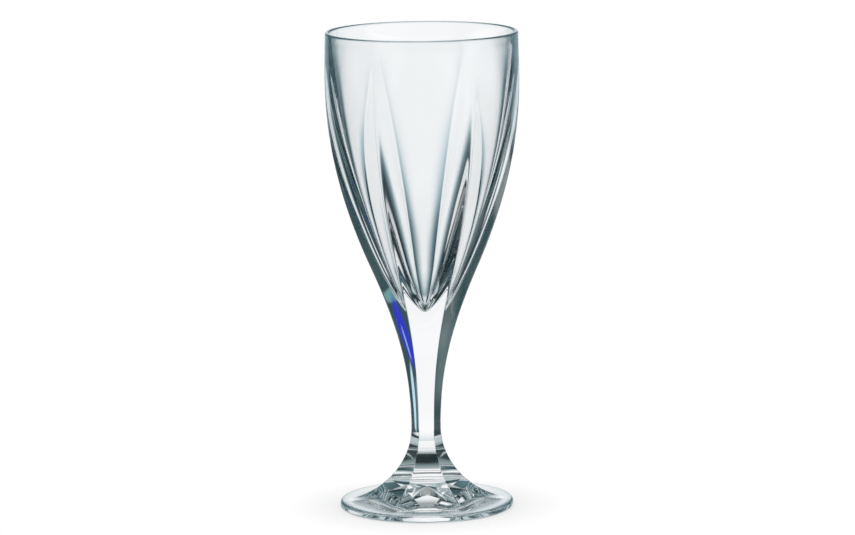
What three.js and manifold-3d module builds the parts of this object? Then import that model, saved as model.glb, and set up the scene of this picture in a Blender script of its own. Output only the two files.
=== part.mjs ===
// Crystal wine glass: a bowl with six flat panels, a six-sided stem and a foot with a star cut beneath.
// Millimetres, +Z up. The origin is the centre of the ring that the glass rests on.
// Panels face along -Y and +Y, so two of the six ridges between them lie along X.

import * as THREE from 'three';
import Module from 'manifold-3d';
import { ConvexGeometry } from 'three/addons/geometries/ConvexGeometry.js';
import { mergeVertices } from 'three/addons/utils/BufferGeometryUtils.js';

const wasm = await Module();
wasm.setup();

// Whole glass. Widths are measured over the ridges.
const glassHeight = 185;
const rimDiameter = 74;
const waistWidth = 11.5;
const footDiameter = 67;
const panelCount = 6;

// Levels of the two seams where the hot pieces were fused, and of the thinnest place of the stem.
const bowlSeamHeight = 66;
const footSeamHeight = 28;
const waistHeight = 30;

// Ridge outline of the bowl. Drops are measured down from the rim.
const rimWall = 1.5;
const rimFlare = 0.55;
const rimFlareDrop = 22;
const hipDrop = 91.3;
const hipDiameter = 41.2;
const hipLean = 0.444;
const hipPullUp = 42.3;
const hipPullDown = 31;
const waistPull = 16.5;

// The round bowl melts into six flat panels between these two drops.
const panelStartDrop = 4;
const panelFullDrop = 92;

// Round hollow of the bowl.
const bowlDepth = 106.8;
const hollowHipDrop = 86;
const hollowHipDiameter = 29;
const hollowHipLean = 0.46;
const hollowPullUp = 36;
const hollowPullDown = 13;
const hollowWallLean = 2.2;
const hollowWallPull = 22;
const hollowTipPull = 2.2;

// Foot: its edge, the sweep of its upper side, and the hollow and star cut beneath.
const footEdge = 2.8;
const footEdgeRadius = 1;
const sweepTopPull = 11.4;
const sweepFootPull = 16.5;
const sweepFootRise = 1.5;
const roundFootDiameter = 44;
const ringInnerDiameter = 62;
const footHollowDepth = 2;
const starDepth = 2.5;
const starFloorSlope = 0.2;
const starWallSlope = 0.5;

// Fineness of the facets.
const columnsPerPanel = 10;
const bowlSteps = 16;
const lipSteps = 6;
const stemSteps = 14;
const sweepSteps = 14;
const edgeSteps = 4;
const hollowSteps = 6;

const rimRadius = rimDiameter / 2;
const waistRadius = waistWidth / 2;
const footRadius = footDiameter / 2;
const lipRadius = rimWall / 2;
const panelAngle = (2 * Math.PI) / panelCount;

const point = (radius, height) => new THREE.Vector2(radius, height);

// Outline curves, each drawn as radius against height.
const hip = point(hipDiameter / 2, glassHeight - hipDrop);
const bowlRidge = new THREE.CubicBezierCurve(
  hip,
  point(hip.x + hipLean * hipPullUp, hip.y + hipPullUp),
  point(rimRadius + rimFlare, glassHeight - rimFlareDrop),
  point(rimRadius, glassHeight - lipRadius),
);
const stemRidge = new THREE.CubicBezierCurve(
  point(waistRadius, waistHeight),
  point(waistRadius, waistHeight + waistPull),
  point(hip.x - hipLean * hipPullDown, hip.y - hipPullDown),
  hip,
);

const innerRimRadius = rimRadius - rimWall;
const hollowHip = point(hollowHipDiameter / 2, glassHeight - hollowHipDrop);
const hollowBottom = glassHeight - bowlDepth;
const hollowWall = new THREE.CubicBezierCurve(
  point(innerRimRadius, glassHeight - lipRadius),
  point(innerRimRadius - hollowWallLean, glassHeight - lipRadius - hollowWallPull),
  point(hollowHip.x + hollowHipLean * hollowPullUp, hollowHip.y + hollowPullUp),
  hollowHip,
);
const hollowTip = new THREE.CubicBezierCurve(
  hollowHip,
  point(hollowHip.x - hollowHipLean * hollowPullDown, hollowHip.y - hollowPullDown),
  point(hollowTipPull, hollowBottom),
  point(0, hollowBottom),
);

const sweepEnd = point(footRadius - footEdgeRadius, footEdge);
const footSweep = new THREE.CubicBezierCurve(
  sweepEnd,
  point(sweepEnd.x - sweepFootPull, footEdge + sweepFootRise),
  point(waistRadius, waistHeight - sweepTopPull),
  point(waistRadius, waistHeight),
);

// Finds where a curve that climbs all the way reaches a height.
function placeAtHeight(curve, height) {
  let low = 0;
  let high = 1;
  for (let round = 0; round < 50; round += 1) {
    const middle = (low + high) / 2;
    if (curve.getPoint(middle).y < height) low = middle;
    else high = middle;
  }
  return low;
}

// Points along part of a curve, both ends included.
function stretch(curve, from, to, steps) {
  const points = [];
  for (let step = 0; step <= steps; step += 1) {
    points.push(curve.getPoint(from + ((to - from) * step) / steps));
  }
  return points;
}

// Points along a circular arc, both ends included.
function arc(centreRadius, centreHeight, radius, from, to, steps) {
  const curve = new THREE.EllipseCurve(centreRadius, centreHeight, radius, radius, from, to, to < from);
  return curve.getPoints(steps);
}

// Each row of a piece is an outline point with its share of flatness: 0 is round, 1 is fully six-sided.
function rows(points, shareOf) {
  return points.map(({ x, y }) => ({ radius: x, height: y, share: shareOf(x, y) }));
}

const round = () => 0;
const flat = () => 1;

// The panels come up steadily below the rim and level off where the bowl is fully six-sided.
function bowlShare(radius, height) {
  const along = (glassHeight - height - panelStartDrop) / (panelFullDrop - panelStartDrop);
  const part = THREE.MathUtils.clamp(along, 0, 1);
  return part * (1 + part - part * part);
}

function footShare(radius) {
  return 1 - THREE.MathUtils.smoothstep(radius, roundFootDiameter / 2, sweepEnd.x);
}

// How far a row reaches at an angle: the ridge keeps the full radius and the panel is drawn in.
function reach({ radius, share }, angle) {
  const offRidge = ((angle % panelAngle) + panelAngle) % panelAngle;
  const offMiddle = offRidge - panelAngle / 2;
  const panel = Math.cos(panelAngle / 2) / Math.cos(offMiddle);
  return radius * (1 - share + share * panel);
}

// Closed body through a list of rows, which starts and ends on the axis.
function loft(list) {
  const columns = panelCount * columnsPerPanel;
  const inner = list.slice(1, -1);
  const positions = [0, 0, list[0].height];
  for (const row of inner) {
    for (let column = 0; column < columns; column += 1) {
      const angle = (column * 2 * Math.PI) / columns;
      const radius = reach(row, angle);
      positions.push(radius * Math.cos(angle), radius * Math.sin(angle), row.height);
    }
  }
  positions.push(0, 0, list[list.length - 1].height);

  const last = positions.length / 3 - 1;
  const at = (row, column) => 1 + row * columns + (column % columns);
  const faces = [];
  for (let column = 0; column < columns; column += 1) {
    faces.push(0, at(0, column + 1), at(0, column));
    for (let row = 0; row + 1 < inner.length; row += 1) {
      faces.push(at(row, column), at(row, column + 1), at(row + 1, column));
      faces.push(at(row, column + 1), at(row + 1, column + 1), at(row + 1, column));
    }
    faces.push(last, at(inner.length - 1, column), at(inner.length - 1, column + 1));
  }

  const geometry = new THREE.BufferGeometry();
  geometry.setAttribute('position', new THREE.Float32BufferAttribute(positions, 3));
  geometry.setIndex(faces);
  return geometry;
}

function solid(geometry) {
  const bare = geometry.clone();
  bare.deleteAttribute('normal');
  bare.deleteAttribute('uv');
  const merged = mergeVertices(bare);
  const mesh = new wasm.Mesh({
    numProp: 3,
    vertProperties: new Float32Array(merged.attributes.position.array),
    triVerts: new Uint32Array(merged.index.array),
  });
  return new wasm.Manifold(mesh);
}

function geometryOf(body) {
  const { vertProperties, triVerts } = body.getMesh();
  const geometry = new THREE.BufferGeometry();
  geometry.setAttribute('position', new THREE.BufferAttribute(vertProperties, 3));
  geometry.setIndex(new THREE.BufferAttribute(triVerts, 1));
  return geometry;
}

// Bowl: up the ridge outline from the seam, over the rounded lip, and down the hollow to its tip.
function bowlGeometry() {
  const seam = placeAtHeight(stemRidge, bowlSeamHeight);
  const outside = [
    point(0, bowlSeamHeight),
    ...stretch(stemRidge, seam, 1, bowlSteps / 2),
    ...stretch(bowlRidge, 0, 1, bowlSteps).slice(1),
  ];
  const lipCentre = rimRadius - lipRadius;
  const lip = arc(lipCentre, glassHeight - lipRadius, lipRadius, 0, Math.PI, lipSteps).slice(1, -1);
  const inside = [
    ...stretch(hollowWall, 0, 1, bowlSteps),
    ...stretch(hollowTip, 0, 1, bowlSteps / 2).slice(1),
  ];
  return loft([...rows(outside, bowlShare), ...rows(lip, round), ...rows(inside, round)]);
}

// Stem: six flat sides between the two seams, thinnest just above the foot.
function stemGeometry() {
  const lower = placeAtHeight(footSweep, footSeamHeight);
  const upper = placeAtHeight(stemRidge, bowlSeamHeight);
  const outside = [
    point(0, footSeamHeight),
    footSweep.getPoint(lower),
    ...stretch(stemRidge, 0, upper, stemSteps),
    point(0, bowlSeamHeight),
  ];
  return loft(rows(outside, flat));
}

// One groove across the underside: a V that is deepest under the stem and runs out at both ends.
function starCut() {
  const top = footHollowDepth + starDepth;
  const fall = top + footEdge;
  const corners = [new THREE.Vector3(0, 0, top)];
  for (const side of [-1, 1]) {
    corners.push(new THREE.Vector3((side * fall) / starFloorSlope, 0, top - fall));
    corners.push(new THREE.Vector3(0, (side * fall) / starWallSlope, top - fall));
  }
  return new ConvexGeometry(corners);
}

// Foot: domed underside, resting ring, rounded edge, and the sweep up into the stem's seam.
function footGeometry() {
  const seam = placeAtHeight(footSweep, footSeamHeight);
  const ringRadius = ringInnerDiameter / 2;
  const hollow = new THREE.QuadraticBezierCurve(
    point(0, footHollowDepth),
    point(ringRadius / 2, footHollowDepth),
    point(ringRadius, 0),
  );
  const low = footEdgeRadius;
  const high = footEdge - footEdgeRadius;
  const quarter = Math.PI / 2;
  const under = [
    ...stretch(hollow, 0, 1, hollowSteps),
    ...arc(sweepEnd.x, low, footEdgeRadius, -quarter, 0, edgeSteps),
    ...arc(sweepEnd.x, high, footEdgeRadius, 0, quarter, edgeSteps),
  ];
  const above = [...stretch(footSweep, 0, seam, sweepSteps).slice(1), point(0, footSeamHeight)];
  let body = solid(loft([...rows(under, round), ...rows(above, footShare)]));
  for (let cut = 0; cut < panelCount / 2; cut += 1) {
    body = body.subtract(solid(starCut().rotateZ(cut * panelAngle)));
  }
  return geometryOf(body);
}

function crystal(colour) {
  return new THREE.MeshStandardMaterial({
    color: colour,
    roughness: 0.03,
    metalness: 0,
    transparent: true,
    opacity: 0.35,
  });
}

function piece(name, geometry, colour) {
  const mesh = new THREE.Mesh(geometry, crystal(colour));
  mesh.name = name;
  return mesh;
}

const glass = new THREE.Group();
glass.add(piece('bowl', bowlGeometry(), 0xe6eef0));
glass.add(piece('stem', stemGeometry(), 0xdde8ea));
glass.add(piece('foot', footGeometry(), 0xd6e3e5));

export default glass;
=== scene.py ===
# %% [markdown]
# # A crystal wine glass
# This lesson dresses a wine glass that was first drawn as three solids: a bowl, a stem and a foot.
# The solids fix every size. Here each one is modelled again, finely enough for light to bend
# cleanly through it, and given polished crystal. Blender works in metres, and +Z is up the stem.

# %% Load the solids
import math

import bpy
from mathutils import Matrix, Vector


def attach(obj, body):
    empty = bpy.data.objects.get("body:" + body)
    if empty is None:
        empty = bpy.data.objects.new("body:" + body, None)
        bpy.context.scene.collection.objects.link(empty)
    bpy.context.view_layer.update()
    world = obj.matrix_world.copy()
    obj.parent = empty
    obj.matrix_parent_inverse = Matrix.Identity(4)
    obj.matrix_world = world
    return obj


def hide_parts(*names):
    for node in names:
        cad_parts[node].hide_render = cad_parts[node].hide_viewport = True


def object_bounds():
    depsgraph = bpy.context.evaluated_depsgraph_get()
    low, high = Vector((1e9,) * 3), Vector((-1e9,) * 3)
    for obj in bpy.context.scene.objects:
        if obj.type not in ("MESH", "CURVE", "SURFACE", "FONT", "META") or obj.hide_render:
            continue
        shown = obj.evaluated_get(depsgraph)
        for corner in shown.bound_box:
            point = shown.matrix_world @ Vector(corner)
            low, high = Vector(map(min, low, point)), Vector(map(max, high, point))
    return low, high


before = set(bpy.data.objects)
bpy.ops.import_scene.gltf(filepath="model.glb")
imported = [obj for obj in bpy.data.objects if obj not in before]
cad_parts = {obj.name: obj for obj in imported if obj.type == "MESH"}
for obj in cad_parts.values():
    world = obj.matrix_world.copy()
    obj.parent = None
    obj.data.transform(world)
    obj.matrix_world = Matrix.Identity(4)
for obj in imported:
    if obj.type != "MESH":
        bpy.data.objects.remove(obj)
cad_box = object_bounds()
MM = 0.001
print("solids:", sorted(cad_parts))
print("box in mm:", [[round(c / MM, 1) for c in corner] for corner in cad_box])

# %% [markdown]
# ## Camera
# A long lens stands well back and looks a little down on the glass, so the rim shows as a thin
# ellipse and the foot as a fuller one. The two ellipses give the camera's height and distance.
# A small turn round the glass and a small roll about the line of sight give the rest.

# %% Place the camera
CAMERA_PLACE = (1.27 * MM, -1680 * MM, 365 * MM)
CAMERA_LENS = 186.05
SENSOR_WIDTH = 36
CAMERA_DIP = math.radians(9.182)
CAMERA_ROLL = math.radians(-0.671)
CAMERA_TURN = math.radians(-1.4)

turn = Matrix.Rotation(CAMERA_TURN, 4, "Z")
bpy.ops.object.camera_add(location=turn @ Matrix.Translation(CAMERA_PLACE).translation)
camera = bpy.context.object
camera.name = "studio_camera"
camera.data.sensor_width = SENSOR_WIDTH
camera.data.lens = CAMERA_LENS
look = Matrix.Rotation(math.pi / 2 - CAMERA_DIP, 4, "X") @ Matrix.Rotation(CAMERA_ROLL, 4, "Z")
camera.rotation_euler = (turn @ look).to_euler()
bpy.context.scene.camera = camera
print("camera at", [round(c, 3) for c in camera.location], "with lens", CAMERA_LENS)

# %% [markdown]
# ## The outline
# Every piece of the glass is a stack of rings. A ring has a radius over its ridges, a level and a
# flatness: 1 is a hexagon and 0 is a circle. The outlines are smooth curves with two handles, the
# same ones that a drawing program bends, read here as radius against level in millimetres.

# %% Tools for the outline
def bend(start, start_handle, end_handle, end, steps):
    """Points along a curve with two handles, both ends included."""
    points = []
    for step in range(steps + 1):
        t = step / steps
        pulls = ((1 - t) ** 3, 3 * t * (1 - t) ** 2, 3 * t * t * (1 - t), t ** 3)
        handles = (start, start_handle, end_handle, end)
        points.append(tuple(sum(p * h[axis] for p, h in zip(pulls, handles)) for axis in (0, 1)))
    return points


def below(points, level):
    """The part of a climbing outline up to a level, cut exactly there."""
    kept = [p for p in points if p[1] < level]
    (r0, z0), (r1, z1) = kept[-1], points[len(kept)]
    share = (level - z0) / (z1 - z0)
    return kept + [(r0 + share * (r1 - r0), level)]


def above(points, level):
    """The part of a climbing outline from a level up, cut exactly there."""
    cut = below(points, level)
    return cut[-1:] + [p for p in points if p[1] > level]


print("outline tools ready")

# %% Curves of the outline
HEIGHT = cad_box[1].z / MM
BOWL_SEAM = 66
FOOT_SEAM = 28
RIM_RADIUS = 37
RIM_WALL = 1.5
LIP_RADIUS = RIM_WALL / 2
RIM_FLARE = 0.55
RIM_FLARE_DROP = 22
WAIST_RADIUS = 5.75
WAIST_LEVEL = 30
WAIST_PULL = 16.5
HIP_RADIUS = 20.6
HIP_LEVEL = HEIGHT - 91.3
HIP_LEAN = 0.444
HIP_PULL_UP = 42.3
HIP_PULL_DOWN = 31
STEM_STEPS = 90
BOWL_STEPS = 70

hip = (HIP_RADIUS, HIP_LEVEL)
stem_ridge = bend((WAIST_RADIUS, WAIST_LEVEL), (WAIST_RADIUS, WAIST_LEVEL + WAIST_PULL),
                  (HIP_RADIUS - HIP_LEAN * HIP_PULL_DOWN, HIP_LEVEL - HIP_PULL_DOWN),
                  hip, STEM_STEPS)
bowl_ridge = bend(hip, (HIP_RADIUS + HIP_LEAN * HIP_PULL_UP, HIP_LEVEL + HIP_PULL_UP),
                  (RIM_RADIUS + RIM_FLARE, HEIGHT - RIM_FLARE_DROP),
                  (RIM_RADIUS, HEIGHT - LIP_RADIUS), BOWL_STEPS)
print("stem ridge:", len(stem_ridge), "points, bowl ridge:", len(bowl_ridge), "points")

# %% [markdown]
# ## Rings
# A ring starts as a six-cornered circle. Its sides are divided, and a small vertex bevel rounds its
# corners, as fire polishing rounds a pressed ridge. From there the ring is extruded level by level:
# To Sphere melts the hexagon towards a circle, and Resize brings the ridges to the outline. The
# flame also leaves each panel a hair crowned, so no ring is ever quite a hexagon. Lofting by
# extrusion keeps every ridge on one run of edges, so the light along it stays unbroken.

# %% Tools for picking and starting a ring
PANELS = 6
SIDE_CUTS = 20
CORNER_SHARE = 0.999
RIDGE_ROUNDING = 0.028
RIDGE_SEGMENTS = 4


def pick_vertices(piece, wanted):
    """Selects, in edit mode, the vertices whose place passes a test."""
    bpy.ops.object.mode_set(mode="EDIT")
    bpy.ops.mesh.select_mode(type="VERT")
    bpy.ops.mesh.select_all(action="DESELECT")
    bpy.ops.object.mode_set(mode="OBJECT")
    for vertex in piece.data.vertices:
        vertex.select = wanted(vertex.co)
    bpy.ops.object.mode_set(mode="EDIT")


def first_ring(name, radius, level):
    """A new piece with one hexagonal ring, two ridges on X, and its mean reach over its ridges."""
    bpy.ops.object.select_all(action="DESELECT")
    bpy.ops.mesh.primitive_circle_add(vertices=PANELS, radius=radius * MM,
                                      location=(0, 0, level * MM), rotation=(0, 0, math.pi / PANELS))
    piece = bpy.context.object
    piece.name = name
    piece.data.name = name
    bpy.ops.object.transform_apply(location=True, rotation=True, scale=True)
    bpy.ops.object.mode_set(mode="EDIT")
    bpy.ops.mesh.select_all(action="SELECT")
    bpy.ops.mesh.subdivide(number_cuts=SIDE_CUTS)
    pick_vertices(piece, lambda co: co.xy.length > CORNER_SHARE * radius * MM)
    bpy.ops.mesh.bevel(offset=RIDGE_ROUNDING * radius * MM, segments=RIDGE_SEGMENTS,
                       affect="VERTICES")
    bpy.ops.mesh.select_all(action="SELECT")
    bpy.ops.object.mode_set(mode="OBJECT")
    reach = [v.co.xy.length for v in piece.data.vertices]
    bpy.ops.object.mode_set(mode="EDIT")
    swell = radius * MM / max(reach)
    bpy.ops.transform.resize(value=(swell, swell, 1))
    return piece, sum(reach) / len(reach) / max(reach)


print("a ring starts with", PANELS, "corners and", SIDE_CUTS, "cuts in each side")

# %% Tools for stacking and closing rings
PANEL_CROWN = 0.955
LEVEL_MARGIN = 1e-6
SHARP_ANGLE = math.radians(18)


def stack_rings(name, rings):
    """Extrudes a piece ring by ring. Each ring is as round as the one before it, or rounder."""
    size, level = rings[0][:2]
    piece, mean = first_ring(name, size, level)
    bulge = 1.0
    for radius, next_level, flatness in rings:
        flatness *= PANEL_CROWN
        next_bulge = flatness * mean / (1 - flatness * (1 - mean))
        next_size = radius / (mean + next_bulge * (1 - mean))
        if next_level != level:
            climb = (0, 0, (next_level - level) * MM)
            bpy.ops.mesh.extrude_region_move(TRANSFORM_OT_translate={"value": climb})
        if next_bulge < bulge:
            bpy.ops.transform.tosphere(value=1 - next_bulge / bulge)
        bpy.ops.transform.resize(value=(next_size / size, next_size / size, 1))
        level, bulge, size = next_level, next_bulge, next_size
    return piece


def close_ring(piece, level):
    """Fills the open ring at a level with one flat face."""
    pick_vertices(piece, lambda co: abs(co.z - level * MM) < LEVEL_MARGIN)
    bpy.ops.mesh.edge_face_add()


def finish_mesh(piece):
    """Turns all faces outwards, and shades curves smooth and cut edges sharp."""
    bpy.ops.object.mode_set(mode="EDIT")
    bpy.ops.mesh.select_all(action="SELECT")
    bpy.ops.mesh.normals_make_consistent(inside=False)
    bpy.ops.object.mode_set(mode="OBJECT")
    bpy.ops.object.select_all(action="DESELECT")
    piece.select_set(True)
    bpy.context.view_layer.objects.active = piece
    bpy.ops.object.shade_smooth_by_angle(angle=SHARP_ANGLE)
    print(piece.name, len(piece.data.polygons), "faces, box in mm:",
          [round(c / MM, 1) for c in piece.dimensions])


print("ring tools ready")

# %% [markdown]
# ## The bowl
# The bowl is pressed in a six-sided mould. Its rim is round and its foot end six-sided, so the
# panels come up out of the round wall gradually. One way is to carve panels from a turned bowl, but
# then each panel ends in a hard arch. Melting the rings from hexagon to circle gives the soft start
# that pressed crystal has. The rings climb from the seam to the rim, roll over the lip and go down
# inside, where the hollow is round and ends in a point.

# %% Rings of the bowl's outside
PANEL_START = 4
PANEL_FULL = 92
LIP_STEPS = 12


def panel_flatness(level):
    """How flat the panels are at a level: they come up steadily and level off."""
    drop = (HEIGHT - level - PANEL_START) / (PANEL_FULL - PANEL_START)
    part = min(max(drop, 0.0), 1.0)
    return part * (1 + part - part * part)


outside = above(stem_ridge, BOWL_SEAM) + bowl_ridge[1:]
bowl_rings = [(radius, level, panel_flatness(level)) for radius, level in outside]
lip_centre = RIM_RADIUS - LIP_RADIUS
for step in range(1, LIP_STEPS):
    angle = math.pi * step / LIP_STEPS
    bowl_rings.append((lip_centre + LIP_RADIUS * math.cos(angle),
                       HEIGHT - LIP_RADIUS + LIP_RADIUS * math.sin(angle), 0))
print(len(bowl_rings), "rings up the outside and over the lip")

# %% Rings of the bowl's hollow
INNER_RIM = RIM_RADIUS - RIM_WALL
WALL_LEAN = 2.2
WALL_PULL = 22
HOLLOW_HIP_RADIUS = 14.5
HOLLOW_HIP_LEVEL = HEIGHT - 86
HOLLOW_LEAN = 0.46
HOLLOW_PULL_UP = 36
HOLLOW_PULL_DOWN = 13
HOLLOW_BOTTOM = HEIGHT - 106.8
TIP_PULL = 2.2
TIP_STEPS = 50

hollow_hip = (HOLLOW_HIP_RADIUS, HOLLOW_HIP_LEVEL)
wall_handle = (HOLLOW_HIP_RADIUS + HOLLOW_LEAN * HOLLOW_PULL_UP,
               HOLLOW_HIP_LEVEL + HOLLOW_PULL_UP)
tip_handle = (HOLLOW_HIP_RADIUS - HOLLOW_LEAN * HOLLOW_PULL_DOWN,
              HOLLOW_HIP_LEVEL - HOLLOW_PULL_DOWN)
wall_inside = bend((INNER_RIM, HEIGHT - LIP_RADIUS),
                   (INNER_RIM - WALL_LEAN, HEIGHT - LIP_RADIUS - WALL_PULL),
                   wall_handle, hollow_hip, BOWL_STEPS)
tip_inside = bend(hollow_hip, tip_handle, (TIP_PULL, HOLLOW_BOTTOM), (0, HOLLOW_BOTTOM), TIP_STEPS)
bowl_rings += [(radius, level, 0) for radius, level in wall_inside + tip_inside[1:-1]]
print(len(bowl_rings), "rings for the bowl")

# %% Model the bowl
bowl = stack_rings("bowl_crystal", bowl_rings)
bpy.ops.mesh.merge(type="CENTER")
close_ring(bowl, BOWL_SEAM)
finish_mesh(bowl)

# %% [markdown]
# ## The stem
# The stem is a solid hexagonal rod, thinnest just above the foot, drawn out while the glass is hot.
# It is the same stack of rings, all at full flatness, and closed at both seams. The rings stand
# close together because light passes lengthwise through the stem and shows every kink.

# %% Model the stem
FOOT_RADIUS = 33.5
FOOT_EDGE = 2.8
EDGE_ROUNDING = 1
SWEEP_END = FOOT_RADIUS - EDGE_ROUNDING
SWEEP_FOOT_PULL = 16.5
SWEEP_FOOT_RISE = 1.5
SWEEP_TOP_PULL = 11.4

foot_sweep = bend((SWEEP_END, FOOT_EDGE),
                  (SWEEP_END - SWEEP_FOOT_PULL, FOOT_EDGE + SWEEP_FOOT_RISE),
                  (WAIST_RADIUS, WAIST_LEVEL - SWEEP_TOP_PULL),
                  (WAIST_RADIUS, WAIST_LEVEL), STEM_STEPS)
stem_outline = above(foot_sweep, FOOT_SEAM) + below(stem_ridge, BOWL_SEAM)[1:]
stem = stack_rings("stem_crystal", [(radius, level, 1) for radius, level in stem_outline])
close_ring(stem, FOOT_SEAM)
close_ring(stem, BOWL_SEAM)
finish_mesh(stem)

# %% [markdown]
# ## The foot
# The foot flares out from the stem's six sides into a round base with a rounded edge, and its
# underside is a shallow dome, so that only a ring touches the table. The rings start at the seam,
# run down and out to the edge and back in under the foot, and meet in the middle.

# %% Rings of the foot
ROUND_START = 22
EDGE_STEPS = 6
RING_INNER = 31
FOOT_HOLLOW = 2
HOLLOW_RINGS = 24


def foot_flatness(radius):
    """How flat the six sides of the sweep still are at a radius: they melt away softly."""
    share = min(max((radius - ROUND_START) / (SWEEP_END - ROUND_START), 0.0), 1.0)
    return 1 - share * share * (3 - 2 * share)


sweep_down = below(foot_sweep, FOOT_SEAM)[::-1]
foot_rings = [(radius, level, foot_flatness(radius)) for radius, level in sweep_down]
for centre, first in ((FOOT_EDGE - EDGE_ROUNDING, 1), (EDGE_ROUNDING, 0)):
    for step in range(1, EDGE_STEPS + 1):
        angle = math.pi / 2 * (first - step / EDGE_STEPS)
        foot_rings.append((SWEEP_END + EDGE_ROUNDING * math.cos(angle),
                           centre + EDGE_ROUNDING * math.sin(angle), 0))
for step in range(HOLLOW_RINGS):
    outward = 1 - step / HOLLOW_RINGS
    foot_rings.append((RING_INNER * outward, FOOT_HOLLOW * (1 - outward * outward), 0))
print(len(foot_rings), "rings for the foot")

# %% Model the foot
foot = stack_rings("foot_crystal", foot_rings)
bpy.ops.mesh.merge(type="CENTER")
close_ring(foot, FOOT_SEAM)
finish_mesh(foot)

# %% [markdown]
# ## The star
# Three V grooves across the underside make a star of six rays, the usual finish beneath a cut foot.
# A wheel with a V edge grinds each one, deepest under the stem and running out at both ends. That
# is the shape of a long, low pyramid, so a cone with four sides is the cutter, stretched, turned
# and taken out of the foot by a Boolean.

# %% Cut the star
STAR_MIDDLE = 4.5
STAR_FLOOR_SLOPE = 0.2
STAR_WALL_SLOPE = 0.5
CUTTER_BASE = -2.8
CUTTER_SIDES = 4

rise = STAR_MIDDLE - CUTTER_BASE
for groove in range(PANELS // 2):
    bpy.ops.object.select_all(action="DESELECT")
    bpy.ops.mesh.primitive_cone_add(vertices=CUTTER_SIDES, radius1=rise * MM, depth=rise * MM,
                                    location=(0, 0, (STAR_MIDDLE + CUTTER_BASE) / 2 * MM))
    cutter = bpy.context.object
    cutter.scale = (1 / STAR_FLOOR_SLOPE, 1 / STAR_WALL_SLOPE, 1)
    bpy.ops.object.transform_apply(location=True, rotation=True, scale=True)
    cutter.rotation_euler.z = groove * 2 * math.pi / PANELS
    bpy.ops.object.transform_apply(location=True, rotation=True, scale=True)
    bpy.context.view_layer.objects.active = foot
    cut = foot.modifiers.new("star_groove", "BOOLEAN")
    cut.operation = "DIFFERENCE"
    cut.solver = "EXACT"
    cut.object = cutter
    bpy.ops.object.modifier_apply(modifier=cut.name)
    bpy.data.objects.remove(cutter)
finish_mesh(foot)

# %% [markdown]
# ## Crystal
# Crystal is clear, hard and polished. A Principled shader with full transmission bends light as
# glass does. Light that is thrown to and fro inside the glass comes a long way through it, and
# leaves it darker and cooler, which draws the dark edges of thick crystal. A volume could do that,
# but the light would have to be handed from volume to volume at the seams. So the bounces are
# counted instead, as a simple stand-in, and the tint deepens with them.

# %% Mix the crystal
CRYSTAL_IOR = 1.52
CRYSTAL_TINT = (0.988, 0.996, 1, 1)
DEEP_TINT = (0.085, 0.24, 0.32, 1)
DEEP_BOUNCES = (4, 13)

crystal = bpy.data.materials.new("polished_crystal")
crystal.use_nodes = True
nodes = crystal.node_tree.nodes
links = crystal.node_tree.links
shader = nodes["Principled BSDF"]
shader.inputs["Transmission Weight"].default_value = 1
shader.inputs["IOR"].default_value = CRYSTAL_IOR
shader.inputs["Roughness"].default_value = 0

path = nodes.new("ShaderNodeLightPath")
depth = nodes.new("ShaderNodeMapRange")
depth.inputs["From Min"].default_value = DEEP_BOUNCES[0]
depth.inputs["From Max"].default_value = DEEP_BOUNCES[1]
tint = nodes.new("ShaderNodeMixRGB")
tint.inputs["Color1"].default_value = CRYSTAL_TINT
tint.inputs["Color2"].default_value = DEEP_TINT
links.new(path.outputs["Ray Depth"], depth.inputs["Value"])
links.new(depth.outputs["Result"], tint.inputs["Fac"])
links.new(tint.outputs["Color"], shader.inputs["Base Color"])
print("crystal bends light by", CRYSTAL_IOR)

# %% [markdown]
# ## Ripple
# Pressed glass is never quite true. A slow noise on the piece's own coordinates tilts the surface as
# a ripple of a hundredth of a millimetre would. Modelling that would take far more faces for a form
# too slight to see in the outline, so it is a bump in the material.

# %% Ripple the surface
RIPPLE_SCALE = 60
RIPPLE_HEIGHT = 0.01

place = nodes.new("ShaderNodeTexCoord")
ripple = nodes.new("ShaderNodeTexNoise")
ripple.inputs["Scale"].default_value = RIPPLE_SCALE
ripple.inputs["Detail"].default_value = 1
bump = nodes.new("ShaderNodeBump")
bump.inputs["Strength"].default_value = 1
bump.inputs["Distance"].default_value = RIPPLE_HEIGHT * MM
links.new(place.outputs["Object"], ripple.inputs["Vector"])
links.new(ripple.outputs["Fac"], bump.inputs["Height"])
links.new(bump.outputs["Normal"], shader.inputs["Normal"])
print("ripple of", RIPPLE_HEIGHT, "mm")

# %% [markdown]
# ## Fused seams
# The three gathers are fused while they are hot, so light runs straight on through both seams. Each
# piece is still a closed body here, with a flat face at its seam. Those faces get a fully
# transparent material of their own, and light goes from piece to piece as through one.

# %% Clear the seams
FLAT_SHARE = 0.999

seam = bpy.data.materials.new("fused_seam")
seam.use_nodes = True
seam_nodes = seam.node_tree.nodes
seam_nodes.remove(seam_nodes["Principled BSDF"])
clear = seam_nodes.new("ShaderNodeBsdfTransparent")
seam.node_tree.links.new(clear.outputs["BSDF"], seam_nodes["Material Output"].inputs["Surface"])

for piece in (bowl, stem, foot):
    piece.data.materials.append(crystal)
    piece.data.materials.append(seam)
    inside = 0
    for face in piece.data.polygons:
        flat = abs(face.normal.z) > FLAT_SHARE
        off_seam = min(abs(face.center.z - level * MM) for level in (BOWL_SEAM, FOOT_SEAM))
        face.material_index = 1 if flat and off_seam < LEVEL_MARGIN else 0
        inside += face.material_index
    print(piece.name, "has", inside, "seam faces")

# %% [markdown]
# ## Node tools
# The floor and the studio are both painted by sums of a few numbers: a distance, an angle, a soft
# step. Three small helpers add those nodes, so that each painted patch is one readable line.

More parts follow.
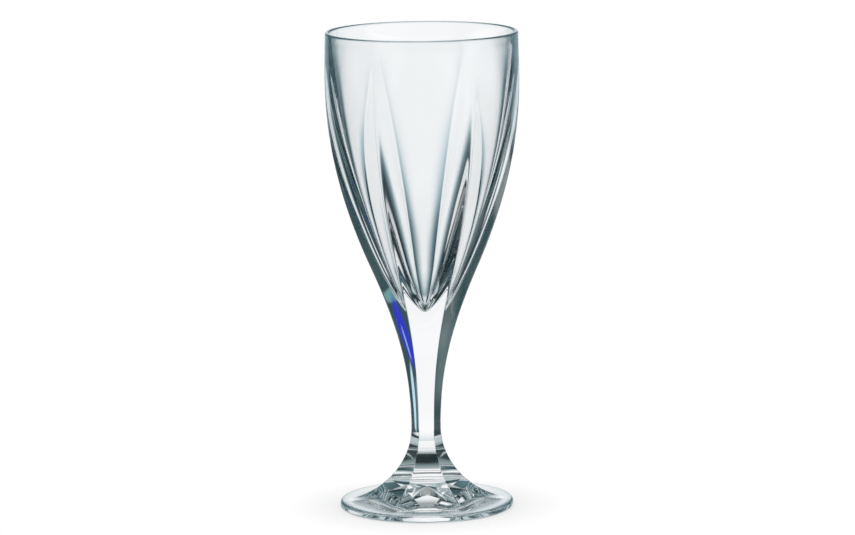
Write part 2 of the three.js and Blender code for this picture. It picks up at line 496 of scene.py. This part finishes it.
# %% Tools for painting with nodes
def sum_up(tree, operation, *values):
    """A Math node on numbers or sockets."""
    node = tree.nodes.new("ShaderNodeMath")
    node.operation = operation
    for socket, value in zip(node.inputs, values):
        if isinstance(value, bpy.types.NodeSocket):
            tree.links.new(value, socket)
        else:
            socket.default_value = value
    return node.outputs["Value"]


def soft_step(tree, value, nothing_at, all_at):
    """A soft step from 0 at one value to 1 at another, which may be the smaller one."""
    node = tree.nodes.new("ShaderNodeMapRange")
    node.interpolation_type = "SMOOTHSTEP"
    tree.links.new(value, node.inputs["Value"])
    node.inputs["From Min"].default_value = min(nothing_at, all_at)
    node.inputs["From Max"].default_value = max(nothing_at, all_at)
    node.inputs["To Min"].default_value = 0 if nothing_at < all_at else 1
    node.inputs["To Max"].default_value = 1 if nothing_at < all_at else 0
    return node.outputs["Result"]


def lay_over(tree, under, share, over):
    """Lays one shader over another where its share is 1."""
    mix = tree.nodes.new("ShaderNodeMixShader")
    tree.links.new(share, mix.inputs["Fac"])
    tree.links.new(under, mix.inputs[1])
    tree.links.new(over, mix.inputs[2])
    return mix.outputs["Shader"]


print("node tools ready")

# %% [markdown]
# ## Floor
# The glass stands on white paper that runs into the white behind it. Only the patch near the glass
# has to be real, to take its faint shadow, so the floor is a small disc that turns into plain white
# light towards its edge. Little light gets under the foot, so the paper that shows through the glass
# is dark under the star, shaded around it and paler towards the edge of the foot, with a white strip
# behind. It is painted, for the rays that come by way of the glass, so the facets stay free of grain.

# %% Lay the floor
FLOOR_RADIUS = 60
FLOOR_DROP = 0.05
FLOOR_SIDES = 96

bpy.ops.object.select_all(action="DESELECT")
bpy.ops.mesh.primitive_circle_add(vertices=FLOOR_SIDES, radius=FLOOR_RADIUS * MM, fill_type="NGON",
                                  location=(0, 0, -FLOOR_DROP * MM))
floor = bpy.context.object
floor.name = "floor"
bpy.ops.object.transform_apply(location=True, rotation=True, scale=True)
print("floor disc of", FLOOR_RADIUS, "mm")

# %% Paint the paper that shows through the glass
CORE_EDGE = (11, 17)
SHADE_EDGE = (19, 30)
STRIP_SIDE = (16, 6)
STRIP_BACK = (14, 36)
CORE_COLOUR = (0.02, 0.03, 0.033)
SHADE_COLOUR = (0.2, 0.27, 0.28)
OUTER_COLOUR = (0.52, 0.61, 0.63)
PAPER_WHITE = (1, 1, 1)

paper = bpy.data.materials.new("white_paper")
paper.use_nodes = True
tree = paper.node_tree
tree.nodes.remove(tree.nodes["Principled BSDF"])


def glow(colour):
    """Paper that gives off one colour."""
    node = tree.nodes.new("ShaderNodeEmission")
    node.inputs["Color"].default_value = (*colour, 1)
    return node.outputs["Emission"]


def fade(value, ends):
    """A soft step on the paper between two distances in millimetres."""
    return soft_step(tree, value, ends[0] * MM, ends[1] * MM)


place = tree.nodes.new("ShaderNodeTexCoord")
from_middle = tree.nodes.new("ShaderNodeVectorMath")
from_middle.operation = "LENGTH"
tree.links.new(place.outputs["Object"], from_middle.inputs[0])
distance = from_middle.outputs["Value"]
sides = tree.nodes.new("ShaderNodeSeparateXYZ")
tree.links.new(place.outputs["Object"], sides.inputs["Vector"])
off_middle = sum_up(tree, "ABSOLUTE", sides.outputs["X"])
strip = sum_up(tree, "MULTIPLY", fade(off_middle, STRIP_SIDE), fade(sides.outputs["Y"], STRIP_BACK))

seen_through = lay_over(tree, glow(SHADE_COLOUR), fade(distance, SHADE_EDGE), glow(OUTER_COLOUR))
seen_through = lay_over(tree, seen_through, strip, glow(PAPER_WHITE))
seen_through = lay_over(tree, glow(CORE_COLOUR), fade(distance, CORE_EDGE), seen_through)
print("paper under the glass painted with", len(tree.nodes), "nodes")

# %% Give the open paper its shadow
SHADOW_FADE = (36, 56)
SHADOW_SHARE = 0.4

matt = tree.nodes.new("ShaderNodeBsdfDiffuse")
matt.inputs["Color"].default_value = (*PAPER_WHITE, 1)
near_glass = sum_up(tree, "SUBTRACT", 1, fade(distance, SHADOW_FADE))
shadow = sum_up(tree, "MULTIPLY", near_glass, SHADOW_SHARE)
seen_plain = lay_over(tree, glow(PAPER_WHITE), shadow, matt.outputs["BSDF"])
ray = tree.nodes.new("ShaderNodeLightPath")
whole = lay_over(tree, seen_through, ray.outputs["Is Camera Ray"], seen_plain)
tree.links.new(whole, tree.nodes["Material Output"].inputs["Surface"])
floor.data.materials.append(paper)
print("shadow fades between", SHADOW_FADE, "mm")

# %% [markdown]
# ## Studio light
# Clear glass has no look of its own: it shows what stands around it. The classic set is a bright
# white field behind the glass and dark cards to its left and right. The front panel then looks white
# and the side panels dark, which draws the ridges. Lamps and cards could be built as objects, but
# each would have to stay out of the camera's sight from every side. So the set is painted into the
# world by direction: one angle round the glass, 0 behind it and positive to the right, and one angle
# up. All angles are in degrees.

# %% Tools for painting the studio
OVAL_EDGE = (1.4, 0.8)

world = bpy.data.worlds.new("studio")
bpy.context.scene.world = world
world.use_nodes = True
sky = world.node_tree
sky.nodes.clear()
direction = sky.nodes.new("ShaderNodeTexCoord")
axes = sky.nodes.new("ShaderNodeSeparateXYZ")
sky.links.new(direction.outputs["Generated"], axes.inputs["Vector"])
radians_round = sum_up(sky, "ARCTAN2", axes.outputs["X"], axes.outputs["Y"])
turned = sum_up(sky, "DEGREES", radians_round)
off_back = sum_up(sky, "ABSOLUTE", turned)
up = sum_up(sky, "DEGREES", sum_up(sky, "ARCSINE", axes.outputs["Z"]))


def light(colour):
    """A background of one colour at full strength."""
    node = sky.nodes.new("ShaderNodeBackground")
    node.inputs["Color"].default_value = (*colour, 1)
    return node.outputs["Background"]


def edge(value, nothing_at, all_at):
    """The share of what lies past a soft edge."""
    return soft_step(sky, value, nothing_at, all_at)


def times(*shares):
    """Several shares multiplied together."""
    product = shares[0]
    for share in shares[1:]:
        product = sum_up(sky, "MULTIPLY", product, share)
    return product


def band(value, start, full, fading, end):
    """The share of a band that comes up softly between two values and fades between two more."""
    return times(edge(value, start, full), edge(value, end, fading))


def oval(azimuth, elevation, half_width, half_height, lean=0):
    """The share of a soft oval patch in one direction. It may lean to the right."""
    climb = sum_up(sky, "SUBTRACT", up, elevation)
    middle = sum_up(sky, "MULTIPLY_ADD", climb, lean, azimuth)
    across = sum_up(sky, "DIVIDE", sum_up(sky, "SUBTRACT", turned, middle), half_width)
    along = sum_up(sky, "DIVIDE", climb, half_height)
    squares = [sum_up(sky, "MULTIPLY", part, part) for part in (across, along)]
    return edge(sum_up(sky, "SQRT", sum_up(sky, "ADD", *squares)), *OVAL_EDGE)


def paint(under, colour, *shares):
    """Paints one colour over the studio where all its shares are 1."""
    return lay_over(sky, under, times(*shares), light(colour))


print("studio tools ready")

# %% [markdown]
# ## Dark cards and grey walls
# The set starts dark: cool grey cards at both sides, darker below and behind the camera. Grey walls
# at eye level keep the sides of the bowl and the plate of the foot from going black. The left wall
# reaches a little further back, and shows in the right side of the stem, because light crosses over
# there. A pale tabletop in front lifts the front of the bowl. It is kept to glossy rays, which in
# Cycles are both those that the polished glass mirrors and those that it bends.

# %% Hang the cards
WHITE = (0.99, 0.995, 1)
SIDE_CARD = (0.042, 0.085, 0.092)
LOW_CARD = (0.01, 0.025, 0.03)
LOW_EDGE = (-2, -20)
FRONT_EDGE = (100, 140)
TABLE_ROUND = (120, 150)
TABLE_UP = (-50, -40, -10, -4)
TABLE_SHARE = 0.6
WALL = (0.21, 0.28, 0.285)
WALLS_ROUND = (50, 62, 110, 140)
WALLS_UP = (-18, -8, 8, 20)
LEFT_WALL_ROUND = (-64, -54, -41, -36)
LEFT_WALL_UP = (-10, -2, 8, 18)
LEFT_WALL_SHARE = 0.55

ray = sky.nodes.new("ShaderNodeLightPath")
from_glass = ray.outputs["Is Glossy Ray"]
studio = paint(light(SIDE_CARD), LOW_CARD, edge(up, *LOW_EDGE))
studio = paint(studio, LOW_CARD, edge(off_back, *FRONT_EDGE))
studio = paint(studio, WHITE, edge(off_back, *TABLE_ROUND), band(up, *TABLE_UP),
               from_glass, TABLE_SHARE)
studio = paint(studio, WALL, band(off_back, *WALLS_ROUND), band(up, *WALLS_UP))
studio = paint(studio, WALL, band(turned, *LEFT_WALL_ROUND), band(up, *LEFT_WALL_UP),
               LEFT_WALL_SHARE)
print("cards, table and walls hung")

# %% [markdown]
# ## The white field
# Nearly all of the bowl looks at the middle of the set, a few degrees below the horizon. There the
# field is white, and it falls off softly through a halo, so that each panel shades towards its
# ridges. A pale strip along the horizon carries the tone on to the sides of the bowl. The rim and
# the point of the hollow bend light steeply, so a patch far below lights both of them.

# %% Light the field
HALO = (0.18, 0.3, 0.34)
HALO_ROUND = (31, 13)
HALO_UP = (42, 12)
HORIZON = (0.5, 0.64, 0.7)
HORIZON_ROUND = (-36, -30, 38, 42)
HORIZON_UP = (-13.4, -10.4, -3, 1)
UPPER_ROUND = (20, 6)
UPPER_UP = (-14.2, -11.2, 2, 8)
RIM_PATCH_ROUND = (26, 12)
RIM_PATCH_UP = (-62, -50, -40, -34)
RIM_PATCH_SHARE = 0.7
FIELD_ROUND = (21.5, 2)
FIELD_TOP = (60, 30)
FIELD_FOOT = (-42, -14)

studio = paint(studio, HALO, edge(off_back, *HALO_ROUND), edge(up, *HALO_UP))
studio = paint(studio, HORIZON, band(turned, *HORIZON_ROUND), band(up, *HORIZON_UP))
studio = paint(studio, WHITE, edge(off_back, *UPPER_ROUND), band(up, *UPPER_UP))
studio = paint(studio, WHITE, edge(off_back, *RIM_PATCH_ROUND), band(up, *RIM_PATCH_UP),
               RIM_PATCH_SHARE)
studio = paint(studio, WHITE, edge(off_back, *FIELD_ROUND), edge(up, *FIELD_TOP),
               edge(up, *FIELD_FOOT))
print("field lit, with", len(sky.nodes), "nodes so far")

# %% [markdown]
# ## Windows
# Seen from another side, the glass has a dark card behind it and would look smoky. So three windows
# stand across from those sides: to the left, at the right in front, and low at the left behind.
# They show only through the glass, so that from the front no panel mirrors them. Two small patches
# give the bright streaks low on the right of the bowl. A dim ceiling and a lamp light the star.

# %% Open the windows
WINDOWS = ((-90, -5, 24, 14), (135, -15, 26, 14))
LOW_WINDOW_ROUND = (-68, -58, -41, -35)
LOW_WINDOW_UP = (-44, -36, -24, -20)
LOW_WINDOW_SHARE = 0.85
GLINTS = (((37, -18, 7, 3.5), 0.9), ((53, -26, 6, 4), 0.45))
CEILING_UP = (35, 55)
CEILING_SHARE = 0.3
LAMP = (-14, 48, 11, 7)
LAMP_SHARE = 0.9

through = ray.outputs["Is Transmission Ray"]
for window in WINDOWS:
    studio = paint(studio, WHITE, oval(*window), through)
studio = paint(studio, WHITE, band(turned, *LOW_WINDOW_ROUND), band(up, *LOW_WINDOW_UP),
               LOW_WINDOW_SHARE, through)
for glint, share in GLINTS:
    studio = paint(studio, WHITE, oval(*glint), share)
studio = paint(studio, WHITE, edge(up, *CEILING_UP), CEILING_SHARE)
studio = paint(studio, WHITE, oval(*LAMP), LAMP_SHARE)
print(len(WINDOWS) + 1, "windows and", len(GLINTS), "glints")

# %% [markdown]
# ## Coloured gels
# The left side of the stem carries a blue streak under a small teal patch, with a pale line below.
# The glass is clear, so these are lights with colour filters. Light crosses over inside a solid
# stem, so they stand at the right. Thin ovals that lean give the streaks their slant.

# %% Hang the gels
TEAL_GEL = (0.2, 0.4, 0.4)
BLUE_GEL = (0.032, 0.042, 0.62)
PALE_GEL = (0.6, 0.85, 1)
TEAL_PATCH = (46, 20.6, 2.4, 1.4)
STREAK_LEAN = 0.28
BLUE_STREAK = (43.4, 11.5, 1.45, 7.5, STREAK_LEAN)
BLUE_GLINT = (42.9, 9, 0.35, 4, STREAK_LEAN)
BLUE_GLINT_SHARE = 0.45
PALE_STREAK = (42.5, -5, 0.8, 7.5)

studio = paint(studio, TEAL_GEL, oval(*TEAL_PATCH))
studio = paint(studio, BLUE_GEL, oval(*BLUE_STREAK))
studio = paint(studio, PALE_GEL, oval(*BLUE_GLINT), BLUE_GLINT_SHARE)
studio = paint(studio, PALE_GEL, oval(*PALE_STREAK))
print("gels hung")

# %% [markdown]
# ## White backdrop
# The picture's background and the light on the paper are plain white. Light Path gives the camera's
# rays and diffuse rays that white alone, and the painted set is left to the glass.

# %% Hang the backdrop
plain = sum_up(sky, "MAXIMUM", ray.outputs["Is Camera Ray"], ray.outputs["Is Diffuse Ray"])
studio = paint(studio, PAPER_WHITE, plain)
output = sky.nodes.new("ShaderNodeOutputWorld")
sky.links.new(studio, output.inputs["Surface"])
print("studio painted with", len(sky.nodes), "nodes")

# %% [markdown]
# ## Finish
# Light crosses many surfaces in a glass, so the bounce limits go up. Each piece rides on the one
# body, and the solid that it stands for is hidden.

# %% Hand over
LIGHT_BOUNCES = 32

scene = bpy.context.scene
scene.view_settings.view_transform = "Standard"
scene.cycles.max_bounces = LIGHT_BOUNCES
scene.cycles.transmission_bounces = LIGHT_BOUNCES
scene.cycles.glossy_bounces = LIGHT_BOUNCES
scene.cycles.transparent_max_bounces = LIGHT_BOUNCES

for piece, node in ((bowl, "bowl"), (stem, "stem"), (foot, "foot")):
    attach(piece, "root")
    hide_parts(node)
